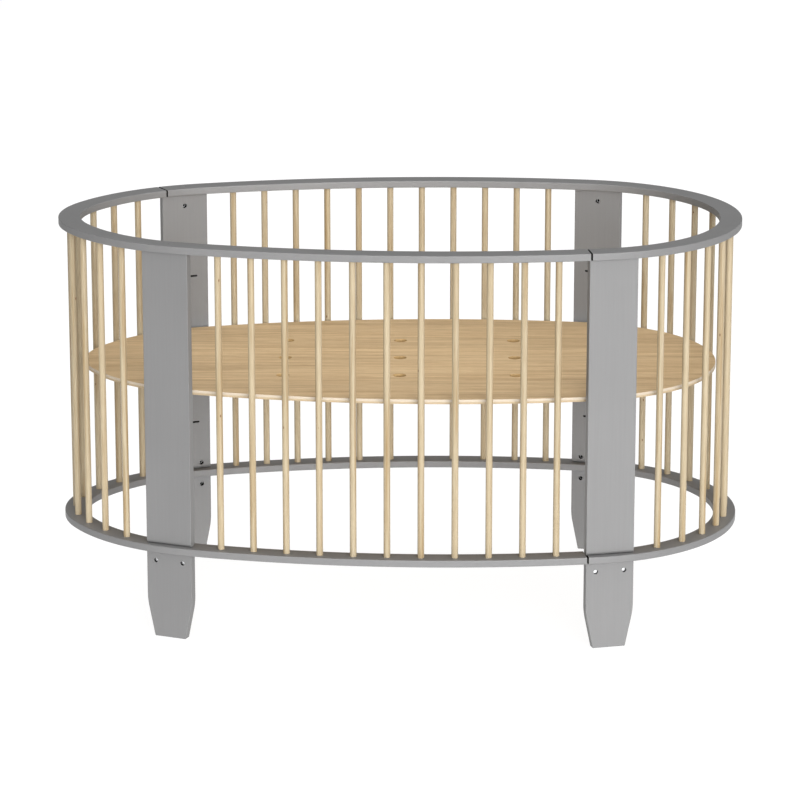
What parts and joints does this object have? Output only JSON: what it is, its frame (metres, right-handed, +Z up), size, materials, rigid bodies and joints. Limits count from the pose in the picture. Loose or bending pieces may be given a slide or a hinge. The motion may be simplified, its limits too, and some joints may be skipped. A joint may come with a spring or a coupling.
{
  "type": "baby crib",
  "caption": "Oval baby crib: egg-shaped rails with a fence of round upright bars, flat posts on tapered feet, and a lift-out perforated mattress base on removable brackets.",
  "frame": {"origin": "on the floor, under the middle of the crib's length and width", "axes": "+X along the crib to its wide end, -Y to the front, +Z up"},
  "size_m": [1.3, 0.711, 0.76],
  "materials": {
    "grey_paint": "smooth satin grey paint on wood",
    "natural_wood": "clear lacquered light wood with fine straight grain",
    "plywood": "clear lacquered plywood, grain along the length, pale layered edge",
    "zinc_steel": "zinc plated steel strip"
  },
  "bodies": {
    "frame": {"top_rail_back_right": "grey_paint", "top_rail_front_left": "grey_paint", "bottom_rail_back_right": "grey_paint", "bottom_rail_front_left": "grey_paint", "post_front_left": "grey_paint", "post_front_right": "grey_paint", "post_back_left": "grey_paint", "post_back_right": "grey_paint", "foot_front_left": "grey_paint", "foot_front_right": "grey_paint", "foot_back_left": "grey_paint", "foot_back_right": "grey_paint", "front_bar_01": "natural_wood", "front_bar_02": "natural_wood", "front_bar_03": "natural_wood", "front_bar_04": "natural_wood", "front_bar_05": "natural_wood", "front_bar_06": "natural_wood", "front_bar_07": "natural_wood", "front_bar_08": "natural_wood", "front_bar_09": "natural_wood", "front_bar_10": "natural_wood", "front_bar_11": "natural_wood", "back_bar_01": "natural_wood", "back_bar_02": "natural_wood", "back_bar_03": "natural_wood", "back_bar_04": "natural_wood", "back_bar_05": "natural_wood", "back_bar_06": "natural_wood", "back_bar_07": "natural_wood", "back_bar_08": "natural_wood", "back_bar_09": "natural_wood", "back_bar_10": "natural_wood", "back_bar_11": "natural_wood", "left_bar_01": "natural_wood", "left_bar_02": "natural_wood", "left_bar_03": "natural_wood", "left_bar_04": "natural_wood", "left_bar_05": "natural_wood", "left_bar_06": "natural_wood", "left_bar_07": "natural_wood", "left_bar_08": "natural_wood", "left_bar_09": "natural_wood", "right_bar_01": "natural_wood", "right_bar_02": "natural_wood", "right_bar_03": "natural_wood", "right_bar_04": "natural_wood", "right_bar_05": "natural_wood", "right_bar_06": "natural_wood", "right_bar_07": "natural_wood", "right_bar_08": "natural_wood", "right_bar_09": "natural_wood", "right_bar_10": "natural_wood", "right_bar_11": "natural_wood"},
    "mattress_base": {"mattress_base": "plywood"},
    "base_bracket_front_left": {"base_bracket_front_left": "zinc_steel"},
    "base_bracket_front_right": {"base_bracket_front_right": "zinc_steel"},
    "base_bracket_back_left": {"base_bracket_back_left": "zinc_steel"},
    "base_bracket_back_right": {"base_bracket_back_right": "zinc_steel"}
  },
  "joints": [
    {"name": "base_lift", "type": "slide", "parent": "frame", "child": "mattress_base", "axis": [0, 0, 1], "range_m": [0, 0.3]},
    {"name": "bracket_slide_front_left", "type": "slide", "parent": "frame", "child": "base_bracket_front_left", "axis": [0.3773, 0.9261, 0], "range_m": [0, 0.0115]},
    {"name": "bracket_slide_front_right", "type": "slide", "parent": "frame", "child": "base_bracket_front_right", "axis": [-0.2456, 0.9694, 0], "range_m": [0, 0.0115]},
    {"name": "bracket_slide_back_left", "type": "slide", "parent": "frame", "child": "base_bracket_back_left", "axis": [0.3773, -0.9261, 0], "range_m": [0, 0.0115]},
    {"name": "bracket_slide_back_right", "type": "slide", "parent": "frame", "child": "base_bracket_back_right", "axis": [-0.2456, -0.9694, 0], "range_m": [0, 0.0115]}
  ]
}
